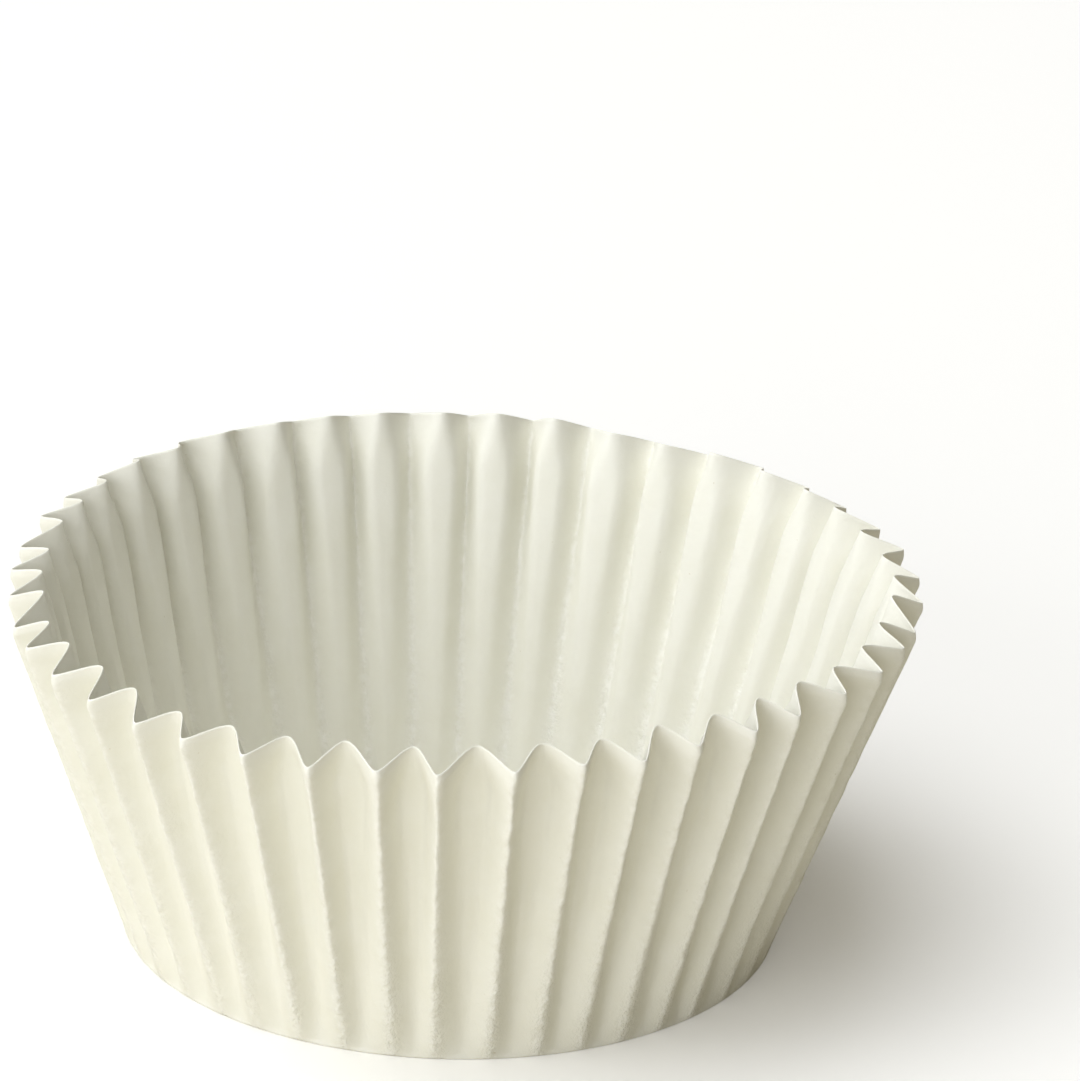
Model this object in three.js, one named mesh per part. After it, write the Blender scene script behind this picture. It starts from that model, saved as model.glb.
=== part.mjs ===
// A fluted paper baking cup: one round sheet of paper pressed into a flat bottom and a pleated wall.
// Millimetres, +Z up. The origin is the centre of the underside, where the cup stands.
import * as THREE from 'three';
import { LoftGeometry } from 'three/addons/geometries/LoftGeometry.js';
import { mergeGeometries } from 'three/addons/utils/BufferGeometryUtils.js';

// Driving dimensions
const pleatCount = 44;
const paperThickness = 0.1;
const bottomRadius = 25;
const cornerRadius = 0.5;
const rimRidgeRadius = 34.8;
const wallLength = 29.2;
const rimPleatDepth = 2.7;
const rimRidgeDrop = 0.4;
const valleyRoundness = 1.25;
const lipLength = 0.9;
const lipTurn = 0.3;

// How finely the folds are drawn
const cornerSteps = 3;
const wallStations = [0.03, 0.12, 0.34, 0.66];
const pleatStations = [-1, -0.36, 0, 0.36];

// Paper colour and finish
const ivoryPaper = new THREE.MeshStandardMaterial({
  color: new THREE.Color().setRGB(0.93, 0.91, 0.81, THREE.SRGBColorSpace),
  roughness: 0.8,
  metalness: 0,
});

// Sizes that follow: the wall leans by what its length spans between the bottom corner and the rim.
// The ridges end lower than the valleys, because they slant more and the stamp pinches them shorter.
const wallLean = Math.asin((rimRidgeRadius - bottomRadius) / wallLength);
const wallFoot = cornerRadius * (1 - Math.sin(wallLean));
const flatRadius = bottomRadius - cornerRadius * Math.cos(wallLean);
const levelThickness = paperThickness / Math.cos(wallLean);
const ridgeHeight = wallLength * Math.cos(wallLean) - rimRidgeDrop;
const rimValleyRadius = rimRidgeRadius - rimPleatDepth;
const valleyHeight = Math.sqrt(wallLength ** 2 - (rimValleyRadius - bottomRadius) ** 2);
const rimSpareLength = spareLength(1);

// Spare paper at a share of the wall: the flat sheet's ring is longer than the cup's ring there,
// and a zigzag takes up the difference with a depth that is the third side of a right triangle.
function spareLength(share) {
  const sheetRadius = bottomRadius + wallLength * share;
  const cupRadius = bottomRadius + (rimRidgeRadius - bottomRadius) * share;
  return Math.sqrt(sheetRadius ** 2 - cupRadius ** 2);
}

// Depth of the pleats at a share of the wall, none at the bottom corner and all of it at the rim
function pleatDepth(share) {
  return rimPleatDepth * spareLength(share) / rimSpareLength;
}

// Across one pleat: 1 on the sharp outer ridge, 0 in the round inner valley
function ridgeShare(station) {
  return Math.abs(station) ** valleyRoundness;
}

// One ring of the wall's outer face, at a share of the wall from the corner to the rim
function wallRing(share) {
  const lipShare = Math.max(0, 1 - (1 - share) * wallLength / lipLength);
  const points = [];
  for (let pleat = 0; pleat < pleatCount; pleat++) {
    for (const station of pleatStations) {
      const angle = 2 * Math.PI * (pleat + (station + 1) / 2) / pleatCount;
      const ridge = ridgeShare(station);
      const ridgeRadius = bottomRadius + (rimRidgeRadius - bottomRadius) * share;
      const radius = ridgeRadius - pleatDepth(share) * (1 - ridge) - lipTurn * lipShare * ridge;
      const height = wallFoot + share * (valleyHeight + (ridgeHeight - valleyHeight) * ridge);
      points.push(new THREE.Vector3(radius * Math.cos(angle), radius * Math.sin(angle), height));
    }
  }
  return points;
}

// A plain ring with the same angles as the wall's rings
function roundRing(radius, height) {
  return wallRing(0).map((point) => {
    const angle = Math.atan2(point.y, point.x);
    return new THREE.Vector3(radius * Math.cos(angle), radius * Math.sin(angle), height);
  });
}

// The same ring moved inwards by the paper's thickness, square to the paper on both sides of each fold
function insideOf(ring, thickness) {
  const up = new THREE.Vector3(0, 0, 1);
  return ring.map((point, index) => {
    const before = ring[(index + ring.length - 1) % ring.length];
    const after = ring[(index + 1) % ring.length];
    const wayIn = point.clone().sub(before).setZ(0).normalize();
    const wayOut = after.clone().sub(point).setZ(0).normalize();
    const squareIn = new THREE.Vector3().crossVectors(up, wayIn);
    const squareOut = new THREE.Vector3().crossVectors(up, wayOut);
    const mitre = squareIn.clone().add(squareOut).normalize();
    return point.clone().addScaledVector(mitre, thickness / mitre.dot(squareIn));
  });
}

// Rings round the bottom corner of one face, from the flat bottom up to the wall's foot
function cornerRings(radius) {
  const rings = [];
  for (let step = 0; step < cornerSteps; step++) {
    const turn = (Math.PI / 2 - wallLean) * step / (cornerSteps - 1);
    rings.push(roundRing(flatRadius + radius * Math.sin(turn), cornerRadius - radius * Math.cos(turn)));
  }
  return rings;
}

// One face of the paper, from its centre over the corner and up the wall
function paperFace(centreHeight, corner, wall) {
  return new LoftGeometry([roundRing(0, centreHeight), ...corner, ...wall]);
}

// The paper is one skin: its outside, its rim and its inside. Both faces are skinned upwards, so they
// are cut along the same diagonals and keep the paper's thickness between them where a pleat twists.
// The inside is then turned to face inwards.
function pressedPaper() {
  const shares = [...wallStations, 1 - lipLength / wallLength, 1];
  const outsideWall = shares.map(wallRing);
  const insideWall = outsideWall.map((ring) => insideOf(ring, levelThickness));
  const outside = paperFace(0, cornerRings(cornerRadius), outsideWall);
  const inside = paperFace(paperThickness, cornerRings(cornerRadius - paperThickness), insideWall);
  const rim = new LoftGeometry([outsideWall.at(-1), insideWall.at(-1)]);
  inside.index.array.reverse();
  return mergeGeometries([outside, rim, inside]);
}

const cup = new THREE.Mesh(pressedPaper(), ivoryPaper);
cup.name = 'paper_cup';

const bakingCup = new THREE.Group();
bakingCup.add(cup);
export default bakingCup;
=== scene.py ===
# %% [markdown]
# A fluted paper baking cup, dressed around its CAD model.
# The CAD model is the fixed frame: it gives the size, the place and the collision.
# This file makes the surface that is seen, its paper, the floor, the light and the camera.

# %% Load the frame
import math

import bpy
import numpy as np
from mathutils import Matrix, Vector


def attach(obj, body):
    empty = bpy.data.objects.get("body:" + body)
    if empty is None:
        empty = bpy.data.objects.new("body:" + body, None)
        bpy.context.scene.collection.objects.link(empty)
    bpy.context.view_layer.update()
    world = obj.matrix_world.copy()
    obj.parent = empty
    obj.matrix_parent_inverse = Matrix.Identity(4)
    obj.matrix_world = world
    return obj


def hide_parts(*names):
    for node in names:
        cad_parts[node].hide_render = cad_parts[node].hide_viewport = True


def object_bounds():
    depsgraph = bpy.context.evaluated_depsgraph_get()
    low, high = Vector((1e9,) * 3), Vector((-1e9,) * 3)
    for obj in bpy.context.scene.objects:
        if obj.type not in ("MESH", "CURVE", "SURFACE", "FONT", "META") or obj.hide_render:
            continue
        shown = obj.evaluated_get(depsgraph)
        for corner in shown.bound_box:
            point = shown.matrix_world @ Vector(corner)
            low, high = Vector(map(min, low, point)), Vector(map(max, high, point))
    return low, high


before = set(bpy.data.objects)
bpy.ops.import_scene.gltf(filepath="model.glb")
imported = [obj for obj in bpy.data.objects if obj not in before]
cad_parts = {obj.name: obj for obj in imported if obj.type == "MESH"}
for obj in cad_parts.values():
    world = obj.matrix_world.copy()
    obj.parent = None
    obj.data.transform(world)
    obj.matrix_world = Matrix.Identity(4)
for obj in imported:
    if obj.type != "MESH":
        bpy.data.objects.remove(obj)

cad_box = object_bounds()
print("CAD box in metres:", [[round(value, 5) for value in corner] for corner in cad_box])

# %% [markdown]
# The real cup starts as a flat round sheet. A ribbed stamp presses it into a mould, so the
# bottom stays flat and the wall folds into pleats, because the sheet's rim is far longer
# than the cup's. A modelled cup could be a revolved profile with a wave on it, but then all
# pleats are alike. Here each fold line has its own place, and the paper spans from one fold
# line to the next. All sizes are metres, written as millimetres times MM.

# %% Sizes of the cup
MM = 0.001
PLEATS = 44
PAPER = 0.1 * MM
BOTTOM_RADIUS = 25.0 * MM
CORNER_RADIUS = 0.15 * MM
RIM_RIDGE_RADIUS = 34.8 * MM
WALL_LENGTH = 29.2 * MM
RIM_PLEAT_DEPTH = 2.7 * MM
RIM_RIDGE_DROP = 0.2 * MM
LIP_LENGTH = 0.9 * MM
LIP_TURN = 0.3 * MM

WALL_LEAN = math.asin((RIM_RIDGE_RADIUS - BOTTOM_RADIUS) / WALL_LENGTH)
WALL_FOOT = CORNER_RADIUS * (1 - math.sin(WALL_LEAN))
FLAT_RADIUS = BOTTOM_RADIUS - CORNER_RADIUS * math.cos(WALL_LEAN)
RIDGE_HEIGHT = WALL_LENGTH * math.cos(WALL_LEAN) - RIM_RIDGE_DROP
RIM_VALLEY_RADIUS = RIM_RIDGE_RADIUS - RIM_PLEAT_DEPTH
VALLEY_HEIGHT = math.sqrt(WALL_LENGTH**2 - (RIM_VALLEY_RADIUS - BOTTOM_RADIUS) ** 2)
print("wall leans", round(math.degrees(WALL_LEAN), 1), "degrees and rises",
      round(VALLEY_HEIGHT / MM, 1), "mm")

# %% [markdown]
# No two pleats of a real cup are quite alike. The fold lines stray sideways by a few
# hundredths of a pleat and bend slightly, the ridges have small kinks, and some pleats are
# deeper. The rim goes slowly up and down and in and out, as on a cup pulled off a stack.
# All of it is drawn from one seeded generator, so the cup is the same each time.

# %% How much the pleats differ
SEED = 20
rng = np.random.default_rng(SEED)
FOLD_STRAY = 0.045
DEPTH_SPREAD = 0.07
RIDGE_SPREAD = 0.10 * MM
RIM_HEIGHT_SPREAD = 0.12 * MM
WANDER = 0.10 * MM
BEND_RANGE = (1.0, 2.4)
RIDGE_KINK = 0.085 * MM
KINK_CELLS = 46
RIM_LIFT = 0.38 * MM
RIM_OVAL = -0.46 * MM
RIM_THREE_SIDED = -0.27 * MM
RIM_LEAN = 0.42 * MM


def slow_waves(angle):
    """How the rim strays from a level circle at an angle round the cup, in metres.

    The lift is a wave with two crests round the rim. The spread is the sum of a wave with
    two crests, one with three, and the lean of the whole rim towards +X. The waves are
    counted from the front, which is -Y.
    """
    from_front = angle + math.pi / 2
    lift = RIM_LIFT * np.sin(2 * from_front)
    spread = RIM_OVAL * np.sin(2 * from_front) + RIM_THREE_SIDED * np.sin(3 * from_front)
    return lift, spread + RIM_LEAN * np.cos(angle)


# %% [markdown]
# The depth of the pleats follows from the paper itself. Paper doesn't stretch, so a ring of
# the flat sheet keeps its length when it stands in the wall. The spare length goes into the
# zigzag: the slope of each pleat is the long side of a right triangle, the cup's own ring is
# one short side, and the depth is the other. It grows fast at the foot and slowly above.

# %% Depth of the pleats
def pleat_depth(share):
    """Depth from ridge to valley at a share of the wall: the root of the sheet's radius
    squared less the cup's radius squared, scaled to the depth at the rim."""
    def spare(part):
        sheet = BOTTOM_RADIUS + WALL_LENGTH * part
        cup = BOTTOM_RADIUS + (RIM_RIDGE_RADIUS - BOTTOM_RADIUS) * part
        return np.sqrt(sheet**2 - cup**2)

    return RIM_PLEAT_DEPTH * spare(share) / spare(1.0)


print("pleat depth at a tenth, half and all of the wall, mm:",
      [round(float(pleat_depth(part)) / MM, 2) for part in (0.1, 0.5, 1.0)])


# %% [markdown]
# Paper that was stamped has small unevenness: soft dents a few millimetres across, and
# crush marks on the ridges, most of all near the foot, where the stamp pinched it. A lattice
# of random numbers with smooth steps between them gives such unevenness on a grid.

# %% Smooth noise on the wall
def lattice_noise(around, along, cells_around, cells_along, draw):
    """Smooth random values between -1 and 1 on a grid.

    Random numbers stand on a lattice that closes on itself round the cup. Between them
    the value goes from one to the next by the smooth step 3t squared less 2t cubed, first
    round the cup and then along the wall.
    """
    lattice = draw.uniform(-1, 1, (cells_along + 2, cells_around))
    x = around / (2 * math.pi) * cells_around
    y = np.clip(along, 0, 1) * cells_along
    column = np.floor(x).astype(int)
    row = np.floor(y).astype(int)
    across = x - column
    up = y - row
    across = across * across * (3 - 2 * across)
    up = up * up * (3 - 2 * up)
    left = column % cells_around
    right = (column + 1) % cells_around
    below = lattice[row, left] * (1 - across) + lattice[row, right] * across
    above = lattice[row + 1, left] * (1 - across) + lattice[row + 1, right] * across
    return below * (1 - up) + above * up


# %% [markdown]
# The wall is worked out fold by fold. Every ridge and every valley is a line up the wall.
# Across a pleat the paper goes from the ridge to the valley and to the next ridge. The stamp
# gives the body broad, nearly flat valleys between narrow ridges with steep flanks. At the
# rim the pleats open into a plain zigzag, and towards the foot they fade into soft waves.
# Paper is never folded to a true edge, so both folds are a little round. The grid is closer
# together at the ridges, where the paper turns fastest.

# %% Fold lines of the wall
STATIONS = np.array([0.0, 0.029, 0.058, 0.09, 0.135, 0.19, 0.27, 0.36, 0.445,
                     0.5, 0.555, 0.64, 0.73, 0.81, 0.865, 0.91, 0.942, 0.971])
WALL_ROWS = 67
LIP_ROWS = 5
TOP_FLAT = 0.68
VALLEY_SAG = 0.09
BODY_VALLEY_ROUND = 0.20
RIM_VALLEY_ROUND = 0.42
FOOT_RIDGE_ROUND = 0.34
RIM_RIDGE_ROUND = 0.16
RIM_ZONE = 0.16
FOOT_FADE = 0.125


def rounded_ramp(distance, radius):
    """From 0 at no distance to 1 at distance 1: a straight ramp whose start is rounded,
    the root of distance squared plus radius squared, less the radius, scaled to reach 1."""
    return (np.sqrt(distance**2 + radius**2) - radius) / (np.sqrt(1 + radius**2) - radius)


def across_pleat(nearness, share):
    """How far the paper has come from the valley (0) to the ridge (1).

    Up to the flat share of the way the paper stays in the valley, apart from a slight sag
    that grows with the square of the way. From there a straight flank rises to the ridge.
    Rounded ramps bend it at both ends. The flat share grows from the foot to the top of
    the body, and at the rim it falls to nothing, which leaves a zigzag.
    """
    rim = np.clip(1 - (1 - share) / RIM_ZONE, 0, 1)
    rim = rim * rim * (3 - 2 * rim)
    flat = TOP_FLAT * share * (1 - rim)
    valley_round = BODY_VALLEY_ROUND + (RIM_VALLEY_ROUND - BODY_VALLEY_ROUND) * rim
    ridge_round = RIM_RIDGE_ROUND + (FOOT_RIDGE_ROUND - RIM_RIDGE_ROUND) * (1 - share)
    crest = 1 - rounded_ramp(1 - nearness, ridge_round)
    flank = rounded_ramp(np.clip((crest - flat) / (1 - flat), 0, 1), valley_round)
    sag = VALLEY_SAG * (1 - rim)
    return (1 - sag) * flank + sag * crest**2


def kinks(share, draw):
    """Small sideways kinks of every ridge line along the wall: random steps on knots that
    are evenly spaced along it, joined smoothly."""
    knots = draw.uniform(-1, 1, (KINK_CELLS + 2, PLEATS))
    place = share * KINK_CELLS
    knot = np.floor(place).astype(int)
    part = place - knot
    part = part * part * (3 - 2 * part)
    return knots[knot[:, 0]] * (1 - part) + knots[knot[:, 0] + 1] * part


def wall_points(shares):
    """The outer face of the wall as arrays (rows, columns) of angle, radius, height and
    nearness to a ridge.

    Rows are shares of the wall from the corner (0) to the rim (1), and columns go round
    the cup, pleat by pleat. At each share the ridge lies on the cone and the valley lies
    deeper by the pleat depth. Between them the radius follows the profile across a pleat.
    Each fold line bends as a sine with its own number of waves and its own phase.
    """
    share = shares[:, None]
    pitch = 2 * math.pi / PLEATS
    index = np.arange(PLEATS)[None, :]
    ridge_angle = pitch * (index + FOLD_STRAY * rng.normal(size=(1, PLEATS)))
    valley_angle = pitch * (index + 0.5 + FOLD_STRAY * rng.normal(size=(1, PLEATS)))
    phase = rng.uniform(0, 2 * math.pi, (2, 1, PLEATS))
    bends = rng.uniform(*BEND_RANGE, (2, 1, PLEATS))
    sway = WANDER * share * (1.2 - share) / RIM_RIDGE_RADIUS
    ridge_angle = ridge_angle + sway * np.sin(math.pi * bends[0] * share + phase[0])
    valley_angle = valley_angle + sway * np.sin(math.pi * bends[1] * share + phase[1])
    kinked = kinks(share, rng) * np.clip(share / FOOT_FADE, 0, 1)
    ridge_angle = ridge_angle + RIDGE_KINK / RIM_RIDGE_RADIUS * kinked

    cone = BOTTOM_RADIUS + (RIM_RIDGE_RADIUS - BOTTOM_RADIUS) * share
    ridge_radius = cone + RIDGE_SPREAD * share * rng.normal(size=(1, PLEATS))
    depth = pleat_depth(share) * (1 + DEPTH_SPREAD * rng.normal(size=(1, PLEATS)))
    valley_radius = cone - depth
    ridge_top = RIM_HEIGHT_SPREAD * share * rng.normal(size=(1, PLEATS))
    valley_top = RIM_HEIGHT_SPREAD * share * rng.normal(size=(1, PLEATS))

    lip = np.clip(1 - (1 - share) * WALL_LENGTH / LIP_LENGTH, 0, 1)
    ridge_radius = ridge_radius - LIP_TURN * lip**1.5

    first = STATIONS < 0.5
    nearness = np.abs(2 * STATIONS - 1)[None, None, :]

    def ends(line, turn=0.0):
        after = np.roll(line, -1, axis=1)
        after[:, -1] += turn
        return np.where(first, line[:, :, None], after[:, :, None])

    ridge_part = across_pleat(nearness, share[:, :, None])
    to_ridge = ends(ridge_angle, 2 * math.pi) - valley_angle[:, :, None]
    angle = valley_angle[:, :, None] + to_ridge * nearness
    radius = valley_radius[:, :, None] + (ends(ridge_radius) - valley_radius[:, :, None]) * ridge_part
    tops = VALLEY_HEIGHT * share + valley_top
    ridge_tops = RIDGE_HEIGHT * share + ridge_top
    height = WALL_FOOT + tops[:, :, None] + (ends(ridge_tops) - tops[:, :, None]) * ridge_part
    rows = len(shares)
    near = np.broadcast_to(ridge_part, angle.shape).reshape(rows, -1)
    return angle.reshape(rows, -1), radius.reshape(rows, -1), height.reshape(rows, -1), near


# %% [markdown]
# The dents and the crush marks are added to the radius. A sculpted surface could have them as
# a displacement too, but worked out here they reach the solid mesh that is kept. Their cells
# are counted round the cup and along the wall: the fine ones are under a millimetre across.

# %% Dents and crush marks
DENT = 0.035 * MM
DENT_CELLS = (90, 14)
FINE_DENT_CELLS = (230, 36)
CRUSH = 0.08 * MM
CRUSH_CELLS = (352, 64)
DENT_FADE = 0.1
CRUSH_FADE = 1 / 12


def unevenness(angle, along, near):
    """How far the paper stands in or out of its plain form, in metres.

    Soft dents are the sum of a coarse noise and half a fine one. Crush marks are the part of
    a third noise above zero, times the cube of the nearness to a ridge. They fade over the
    upper three quarters of the wall.
    """
    dents = lattice_noise(angle, along, *DENT_CELLS, rng)
    dents = dents + 0.5 * lattice_noise(angle, along, *FINE_DENT_CELLS, rng)
    bites = np.clip(lattice_noise(angle, along, *CRUSH_CELLS, rng), 0, 1)
    low_part = np.clip(1.35 - 1.4 * along, 0, 1) * np.clip(along / CRUSH_FADE, 0, 1)
    return DENT * dents * np.clip(along / DENT_FADE, 0, 1) - CRUSH * bites * near**3 * low_part


# %% [markdown]
# The paper is one closed skin: from the middle of the underside out over the flat bottom,
# round the corner, up the wall, over the rim and back down the inside. The inside is the
# outside moved by the paper's thickness along its own normals, so the paper is as thick at
# the folds as elsewhere. Below the lip it takes every second ring of the outside, which
# halves its faces. Kinks and dents stay smaller than the paper is thick, so that the two
# faces don't meet.

# %% Outer face of the cup
FLOOR_RINGS = 3
CORNER_RINGS = 5
ROW_CROWDING = 1.25
INNER_STEP = 2


def outer_face():
    """Positions (rows, columns, 3) of the outer face from the bottom's edge up to the rim,
    with each point's share of the wall and its nearness to a ridge.

    The flat bottom is rings of growing radius, and the corner is an arc of the corner's
    radius from straight down round to square with the wall. The rows of the wall are shares
    to a power a little above 1, which sets them closer at the foot, and the lip has its own.
    """
    shares = np.concatenate([
        np.linspace(0, 1, WALL_ROWS, endpoint=False)[1:] ** ROW_CROWDING * (1 - LIP_LENGTH / WALL_LENGTH),
        1 - LIP_LENGTH / WALL_LENGTH * np.linspace(1, 0, LIP_ROWS + 1),
    ])
    angle, radius, height, near = wall_points(np.concatenate([[0.0], shares]))
    along = np.concatenate([[0.0], shares])[:, None] + 0 * angle
    lift, spread = slow_waves(angle)
    radius = radius + along * spread + unevenness(angle, along, near)
    height = height + along * lift
    foot_angle = angle[0]

    flat = np.linspace(0, 1, FLOOR_RINGS + 1)[1:] * FLAT_RADIUS
    turn = np.linspace(0, math.pi / 2 - WALL_LEAN, CORNER_RINGS + 1)[1:]
    round_radius = np.concatenate([flat, FLAT_RADIUS + CORNER_RADIUS * np.sin(turn[:-1])])
    round_height = np.concatenate([0 * flat, CORNER_RADIUS * (1 - np.cos(turn[:-1]))])
    rings = len(round_radius)
    angle = np.concatenate([np.broadcast_to(foot_angle, (rings, foot_angle.size)), angle])
    radius = np.concatenate([round_radius[:, None] + 0 * foot_angle, radius])
    height = np.concatenate([round_height[:, None] + 0 * foot_angle, height])
    along = np.concatenate([np.zeros((rings, foot_angle.size)), along])
    near = np.concatenate([np.zeros((rings, foot_angle.size)), near])
    points = np.stack([radius * np.cos(angle), radius * np.sin(angle), height], axis=-1)
    return points, along, near


outside, along_wall, near_ridge = outer_face()
print("outer face:", outside.shape[0], "rings of", outside.shape[1], "points")


# %% Inner face and rim
def face_normals(points):
    """Unit normals of a grid that closes round its columns: the cross product of the step
    round the cup and the step along the paper, which points out of the cup."""
    around = np.roll(points, -1, axis=1) - np.roll(points, 1, axis=1)
    upward = np.gradient(points, axis=0)
    normal = np.cross(around, upward)
    return normal / np.linalg.norm(normal, axis=-1, keepdims=True)


normals = face_normals(outside)
flat_rows = np.abs(outside[:, 0, 2]) < PAPER / 100
normals[flat_rows] = (0, 0, -1)
inside = outside - PAPER * normals
lip_start = len(inside) - LIP_ROWS
inner_rows = np.concatenate([np.arange(0, lip_start - 1, INNER_STEP), np.arange(lip_start, len(inside))])
rim_top = (outside[-1] + inside[-1]) / 2
rim_way = outside[-1] - outside[-2]
rim_top = rim_top + PAPER / 2 * rim_way / np.linalg.norm(rim_way, axis=-1, keepdims=True)
inner_rows = inner_rows[::-1]
rings = np.concatenate([outside, rim_top[None], inside[inner_rows]])
ring_along = np.concatenate([along_wall, along_wall[-1:], along_wall[inner_rows]])
ring_ridge = np.concatenate([near_ridge, near_ridge[-1:], near_ridge[inner_rows]])
print("whole skin:", rings.shape[0], "rings")


# %% [markdown]
# The rings become one mesh with four-sided faces between them and a fan of triangles at
# each centre. The share of the wall and the nearness to a ridge go along as attributes,
# so that the material can follow the folds.

# %% Mesh of the cup
def skin_mesh(name, rings, first_centre, last_centre, attributes):
    """A closed mesh from rings of points. Each ring joins the next with quads, and the
    first and last ring close onto their centres with triangles. Column j joins j + 1,
    and the last joins the first."""
    rows, columns = rings.shape[:2]
    points = np.concatenate([rings.reshape(-1, 3), [first_centre], [last_centre]])
    column = np.arange(columns)
    after = (column + 1) % columns
    row = np.arange(rows - 1)[:, None] * columns
    quads = np.stack([row + column, row + after, row + columns + after, row + columns + column], axis=-1)
    start = rows * columns
    top = (rows - 1) * columns
    first_fan = np.stack([np.full(columns, start), after, column], axis=-1)
    last_fan = np.stack([np.full(columns, start + 1), top + column, top + after], axis=-1)
    corners = np.concatenate([quads.ravel(), first_fan.ravel(), last_fan.ravel()])
    sizes = np.concatenate([np.full(quads.size // 4, 4), np.full(2 * columns, 3)])
    mesh = bpy.data.meshes.new(name)
    mesh.vertices.add(len(points))
    mesh.vertices.foreach_set("co", points.ravel())
    mesh.loops.add(len(corners))
    mesh.loops.foreach_set("vertex_index", corners)
    mesh.polygons.add(len(sizes))
    mesh.polygons.foreach_set("loop_start", np.concatenate([[0], np.cumsum(sizes)[:-1]]))
    mesh.update(calc_edges=True)
    mesh.polygons.foreach_set("use_smooth", np.ones(len(sizes), dtype=bool))
    for label, values in attributes.items():
        layer = mesh.attributes.new(label, "FLOAT", "POINT")
        layer.data.foreach_set("value", np.concatenate([values.ravel(), [0.0, 0.0]]))
    mesh.validate()
    return mesh


cup_mesh = skin_mesh("pleated_cup", rings, (0, 0, 0), (0, 0, PAPER),
                     {"wall_share": ring_along, "ridge": ring_ridge})
cup = bpy.data.objects.new("pleated_cup", cup_mesh)
bpy.context.collection.objects.link(cup)
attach(cup, "root")
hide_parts("paper_cup")
print("cup mesh:", len(cup_mesh.vertices), "vertices,", len(cup_mesh.polygons), "faces")

# %% [markdown]
# The paper is ivory, matt and a little waxy, because baking paper is pressed hard so that
# fat doesn't soak in. Up close it shows cloudy fibre patches, fine tooth and a few specks.
# The pattern comes from noise on Object coordinates, so it needs no picture, and the folds
# are found by the attributes: the ridge crests get a painted highlight in patches, a band
# along the rim edge a fainter painted highlight, and a fuzz of loosened fibres lies on the
# ridges. Scales are cells a metre: at 1000 a cell is a millimetre across.

# %% Ivory paper
PAPER_COLOUR = (0.884, 0.876, 0.800)
# Colour of the painted highlight on the ridge crests and the rim edge.
PAINTED_HIGHLIGHT_COLOUR = (0.945, 0.938, 0.880)
CLOUD_COLOUR = (0.850, 0.838, 0.738)
SPECK_COLOUR = (0.62, 0.56, 0.42)
CLOUD_SCALE = 240
# Cells of the patches of painted highlight on the ridges.
HIGHLIGHT_PATCH_SCALE = 1500
SPECK_SCALE = 2600
TOOTH_SCALE = 4200
FIBRE_SCALE = 1100
FUZZ_SCALE = 2300


def noise_at(nodes, links, coordinates, scale, detail, roughness=0.5):
    """A noise texture on the given coordinates; its Fac runs from 0 to 1."""
    noise = nodes.new("ShaderNodeTexNoise")
    noise.inputs["Scale"].default_value = scale
    noise.inputs["Detail"].default_value = detail
    noise.inputs["Roughness"].default_value = roughness
    links.new(coordinates, noise.inputs["Vector"])
    return noise.outputs["Fac"]


def ramp(nodes, links, value, low, high):
    """A value mapped from low..high to 0..1 and clamped."""
    node = nodes.new("ShaderNodeMapRange")
    node.inputs["From Min"].default_value = low
    node.inputs["From Max"].default_value = high
    links.new(value, node.inputs["Value"])
    return node.outputs["Result"]


def mixed(nodes, links, factor, first, second):
    """The first colour where the factor is 0, the second where it is 1."""
    node = nodes.new("ShaderNodeMix")
    node.data_type = "RGBA"
    links.new(factor, node.inputs["Factor"])
    for socket, colour in ((node.inputs["A"], first), (node.inputs["B"], second)):
        if isinstance(colour, tuple):
            socket.default_value = (*colour, 1)
        else:
            links.new(colour, socket)
    return node.outputs["Result"]


def calculated(nodes, links, operation, first, second):
    """One Math node on two inputs, each a socket or a number."""
    node = nodes.new("ShaderNodeMath")
    node.operation = operation
    for socket, value in zip(node.inputs, (first, second)):
        if isinstance(value, (int, float)):
            socket.default_value = value
        else:
            links.new(value, socket)
    return node.outputs[0]


def seen_ray(nodes, links):
    """1 for a ray from the camera, or one seen in a shine or through something clear."""
    path = nodes.new("ShaderNodeLightPath")
    shine = calculated(nodes, links, "MAXIMUM", path.outputs["Is Glossy Ray"],
                       path.outputs["Is Transmission Ray"])
    return calculated(nodes, links, "MAXIMUM", path.outputs["Is Camera Ray"], shine)


def attribute(nodes, name):
    """The mesh's own attribute of that name, as a factor."""
    node = nodes.new("ShaderNodeAttribute")
    node.attribute_name = name
    return node.outputs["Fac"]


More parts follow.
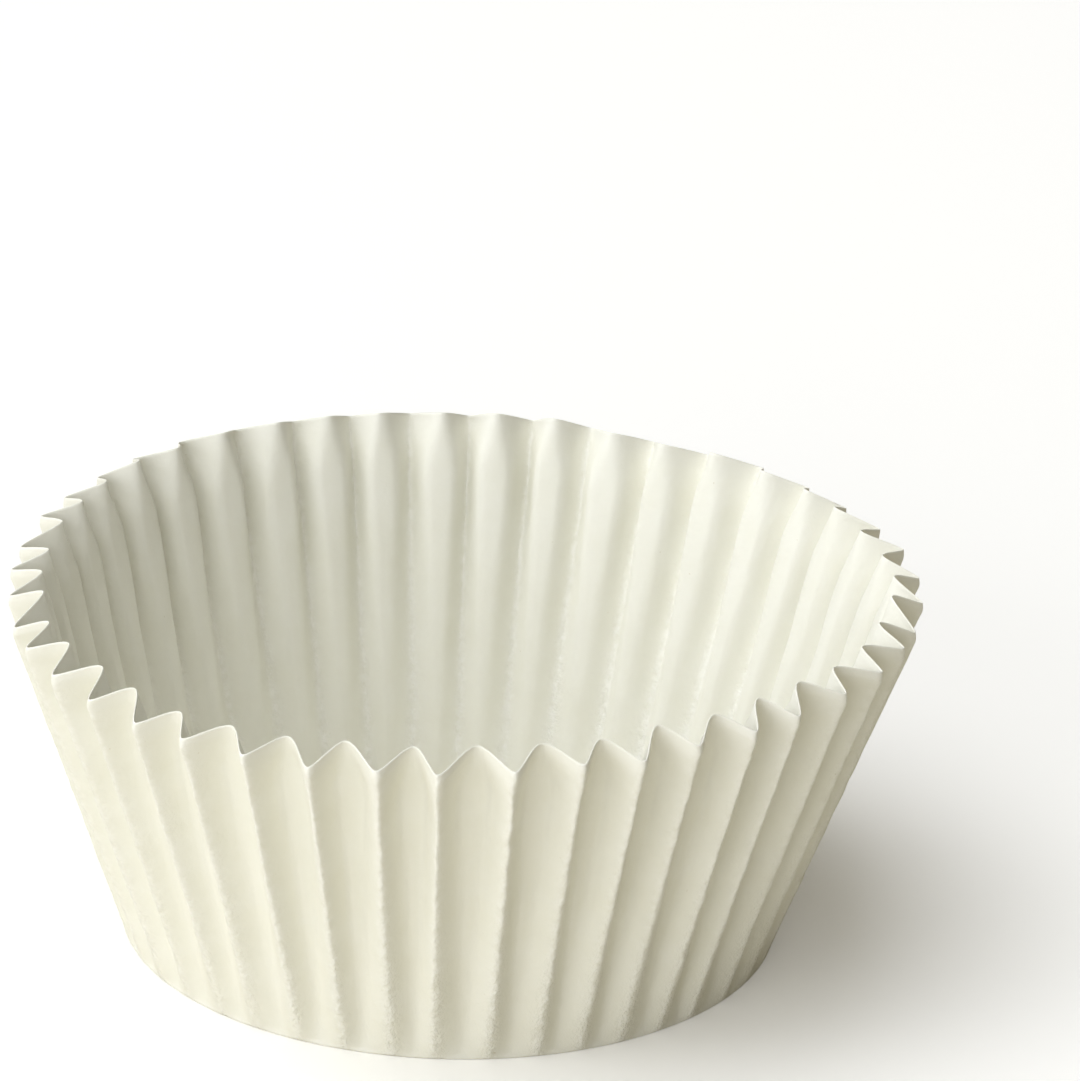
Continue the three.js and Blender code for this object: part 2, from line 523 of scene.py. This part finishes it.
def ivory_paper():
    """Matt ivory paper: cloudy fibre patches, a painted highlight on the ridges and the rim,
    rare specks, and a bump from fibres, tooth and the fuzz on the ridges."""
    material = bpy.data.materials.new("ivory_paper")
    material.use_nodes = True
    nodes, links = material.node_tree.nodes, material.node_tree.links
    shader = nodes["Principled BSDF"]
    place = nodes.new("ShaderNodeTexCoord").outputs["Object"]
    ridge = attribute(nodes, "ridge")
    share = attribute(nodes, "wall_share")

    clouds = ramp(nodes, links, noise_at(nodes, links, place, CLOUD_SCALE, 4, 0.6), 0.35, 0.75)
    cloudy = calculated(nodes, links, "MULTIPLY", clouds, 0.6)
    colour = mixed(nodes, links, cloudy, PAPER_COLOUR, CLOUD_COLOUR)
    # Painted highlight: the ridge crests are coloured paler, in patches.
    ridge_highlight = calculated(nodes, links, "POWER", ridge, 7.0)
    patchy = ramp(nodes, links, noise_at(nodes, links, place, HIGHLIGHT_PATCH_SCALE, 4, 0.65), 0.36, 0.6)
    ridge_highlight = calculated(nodes, links, "MULTIPLY", ridge_highlight, patchy)
    # Painted highlight: a band along the rim edge is coloured a little paler.
    rim = ramp(nodes, links, share, 0.955, 0.985)
    pale = calculated(nodes, links, "MAXIMUM", calculated(nodes, links, "MULTIPLY", ridge_highlight, 0.9),
                      calculated(nodes, links, "MULTIPLY", rim, 0.2))
    # The paper colour turns towards the painted highlight colour on the ridges and the rim.
    colour = mixed(nodes, links, pale, colour, PAINTED_HIGHLIGHT_COLOUR)
    specks = ramp(nodes, links, noise_at(nodes, links, place, SPECK_SCALE, 1), 0.80, 0.86)
    colour = mixed(nodes, links, calculated(nodes, links, "MULTIPLY", specks, 0.5), colour, SPECK_COLOUR)
    links.new(colour, shader.inputs["Base Color"])

    rough = nodes.new("ShaderNodeMapRange")
    rough.inputs["To Min"].default_value = 0.62
    rough.inputs["To Max"].default_value = 0.82
    links.new(clouds, rough.inputs["Value"])
    links.new(rough.outputs["Result"], shader.inputs["Roughness"])
    shader.inputs["Specular IOR Level"].default_value = 0.35

    tooth = noise_at(nodes, links, place, TOOTH_SCALE, 5, 0.65)
    fibres = noise_at(nodes, links, place, FIBRE_SCALE, 3)
    surface = calculated(nodes, links, "ADD", calculated(nodes, links, "MULTIPLY", tooth, 0.4), fibres)
    crushed = calculated(nodes, links, "MULTIPLY", calculated(nodes, links, "POWER", ridge, 3.0),
                         ramp(nodes, links, share, 1.3, 0.2))
    fuzz = noise_at(nodes, links, place, FUZZ_SCALE, 3, 0.7)
    fuzz = calculated(nodes, links, "MULTIPLY", fuzz, crushed)
    surface = calculated(nodes, links, "ADD", calculated(nodes, links, "MULTIPLY", fuzz, 4.0), surface)
    bump = nodes.new("ShaderNodeBump")
    bump.inputs["Strength"].default_value = 0.75
    bump.inputs["Distance"].default_value = 0.08 * MM
    links.new(surface, bump.inputs["Height"])
    links.new(bump.outputs["Normal"], shader.inputs["Normal"])
    return material


cup_mesh.materials.append(ivory_paper())
print("material:", cup_mesh.materials[0].name)

# %% [markdown]
# The cup stands on a plain white table. A large flat floor with a matt surface keeps the
# cup's soft shadow. The camera sees the floor white, with a faint glow, so that the paper
# stands before a clean white. To the paper the floor is duller, so less light comes back up.

# %% White floor
FLOOR_HALF = 3.0
FLOOR_SEEN = (1.0, 0.995, 0.98)
FLOOR_BOUNCE = (0.73, 0.69, 0.56)
FLOOR_GLOW = 0.14


def white_floor():
    """A square sheet at the height of the cup's underside."""
    corners = [(x, y, 0.0) for x, y in ((-1, -1), (1, -1), (1, 1), (-1, 1))]
    mesh = bpy.data.meshes.new("white_floor")
    mesh.from_pydata([(FLOOR_HALF * x, FLOOR_HALF * y, z) for x, y, z in corners], [], [(0, 1, 2, 3)])
    material = bpy.data.materials.new("white_floor")
    material.use_nodes = True
    nodes, links = material.node_tree.nodes, material.node_tree.links
    shader = nodes["Principled BSDF"]
    shader.inputs["Roughness"].default_value = 0.9
    shader.inputs["Specular IOR Level"].default_value = 0.1
    seen = seen_ray(nodes, links)
    links.new(mixed(nodes, links, seen, FLOOR_BOUNCE, FLOOR_SEEN), shader.inputs["Base Color"])
    glow = calculated(nodes, links, "MULTIPLY", seen, FLOOR_GLOW)
    shader.inputs["Emission Color"].default_value = (1, 1, 1, 1)
    links.new(glow, shader.inputs["Emission Strength"])
    mesh.materials.append(material)
    return bpy.data.objects.new("white_floor", mesh)


floor = white_floor()
bpy.context.collection.objects.link(floor)
print("floor:", 2 * FLOOR_HALF, "m square")

# %% [markdown]
# The photograph has one broad soft light high on the left, which throws the shadow. Light
# that comes in low from the left brightens one side of each pleat, and some from the front
# opens the valleys. Three slightly cool area lamps give these, and an even, warm world fills
# the rest. The camera sees plain white all round instead of that fill.

# %% Light
LAMP_DISTANCE = 2.0
KEY_SIZE = 2.0
KEY_POWER = 37.3
KEY_ROUND = math.radians(0)
KEY_UP = math.radians(71)
LOW_SIZE = 1.5
LOW_UP = math.radians(13)
LEFT_LOW_POWER = 15.4
LEFT_LOW_ROUND = math.radians(28)
FRONT_POWER = 19.8
FRONT_ROUND = math.radians(71)
LAMP_WHITE = (0.945, 0.966, 1.0)
FILL = 0.105
FILL_COLOUR = (1.0, 0.85, 0.48)


def soft_lamp(name, round_angle, up_angle, size, power, colour):
    """A square area lamp that looks at the cup's middle. The round angle is counted from
    the left towards the front."""
    lamp = bpy.data.lights.new(name, "AREA")
    lamp.size = size
    lamp.energy = power
    lamp.color = colour
    holder = bpy.data.objects.new(name, lamp)
    aim = Vector((0, 0, cad_box[1][2] / 2))
    way = Vector((-math.cos(up_angle) * math.cos(round_angle),
                  -math.cos(up_angle) * math.sin(round_angle), math.sin(up_angle)))
    holder.location = aim + LAMP_DISTANCE * way
    holder.rotation_euler = way.to_track_quat("Z", "Y").to_euler()
    bpy.context.collection.objects.link(holder)
    return holder


soft_lamp("key_light", KEY_ROUND, KEY_UP, KEY_SIZE, KEY_POWER, LAMP_WHITE)
soft_lamp("left_light", LEFT_LOW_ROUND, LOW_UP, LOW_SIZE, LEFT_LOW_POWER, LAMP_WHITE)
soft_lamp("front_light", FRONT_ROUND, LOW_UP, LOW_SIZE, FRONT_POWER, LAMP_WHITE)

world = bpy.data.worlds.new("pale_room")
bpy.context.scene.world = world
world.use_nodes = True
world_nodes, world_links = world.node_tree.nodes, world.node_tree.links
background = world_nodes["Background"]
seen = seen_ray(world_nodes, world_links)
fill = tuple(FILL * channel for channel in FILL_COLOUR)
world_links.new(mixed(world_nodes, world_links, seen, fill, (1.0, 1.0, 1.0)), background.inputs["Color"])
print("lamps", KEY_POWER, LEFT_LOW_POWER, "and", FRONT_POWER, "W, fill", FILL)

# %% [markdown]
# The camera stands where the photograph was taken: a long lens from a little above, looking
# down at about 23 degrees and held almost two degrees askew. The numbers come from matching
# the folds of the rim and the foot's outline, so the cup fills the same part of the frame.

# %% Camera
FRAME_HEIGHT_PX = 1081
FOCAL_PX = 8254
SENSOR_MM = 36
VIEW_DISTANCE = 620.8 * MM
VIEW_ELEVATION = math.radians(22.84)
VIEW_AZIMUTH = math.radians(0.26)
VIEW_ROLL = math.radians(1.94)
AIM_RIGHT = 6.07 * MM
AIM_HEIGHT = 31.33 * MM


def photograph_camera():
    """A camera from its angles: it looks at a point beside the cup's axis, from the view
    distance away at the given elevation and azimuth, and is then rolled."""
    data = bpy.data.cameras.new("camera")
    data.sensor_width = SENSOR_MM
    data.lens = FOCAL_PX / FRAME_HEIGHT_PX * SENSOR_MM
    back = Vector((0, -math.cos(VIEW_ELEVATION), math.sin(VIEW_ELEVATION)))
    level = Vector((1, 0, 0))
    up = back.cross(level)
    right = math.cos(VIEW_ROLL) * level + math.sin(VIEW_ROLL) * up
    top = back.cross(right)
    eye = Vector((AIM_RIGHT, 0, AIM_HEIGHT)) + VIEW_DISTANCE * back
    pose = Matrix((right, top, back)).transposed().to_4x4()
    pose.translation = eye
    camera = bpy.data.objects.new("camera", data)
    camera.matrix_world = Matrix.Rotation(VIEW_AZIMUTH, 4, "Z") @ pose
    bpy.context.collection.objects.link(camera)
    return camera


camera = photograph_camera()
bpy.context.scene.camera = camera
bpy.context.scene.view_settings.view_transform = "Standard"
print("camera lens", round(camera.data.lens, 1), "mm")

# %% Update the scene
bpy.context.view_layer.update()
